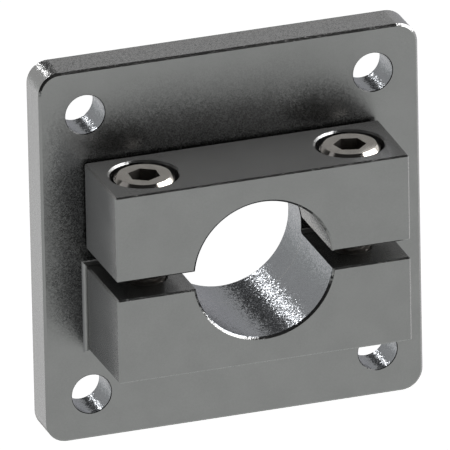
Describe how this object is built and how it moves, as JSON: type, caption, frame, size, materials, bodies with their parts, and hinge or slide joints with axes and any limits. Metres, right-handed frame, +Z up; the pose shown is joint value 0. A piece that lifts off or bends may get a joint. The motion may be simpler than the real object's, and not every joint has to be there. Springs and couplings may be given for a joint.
{
  "type": "linear shaft support",
  "caption": "Square flange with a split shaft clamp standing out from its face: the lower half is cast onto the flange, and a loose cap is drawn down by socket head screws.",
  "frame": {"origin": "centre of the four bolt holes on the mounting face, on the shaft's axis", "axes": "+Y along the shaft's axis into the surface that the flange is bolted to, +Z up through the cap, +X to the right seen from the front"},
  "size_m": [0.083, 0.0293, 0.083],
  "materials": {
    "cast_body": "satin, fine grained",
    "cap": "satin, fine grained",
    "screw_steel": "satin, warm grey"
  },
  "bodies": {
    "root": {"flange_body": "cast_body", "clamp_cap": "cap", "clamp_screws": "screw_steel"}
  },
  "joints": []
}
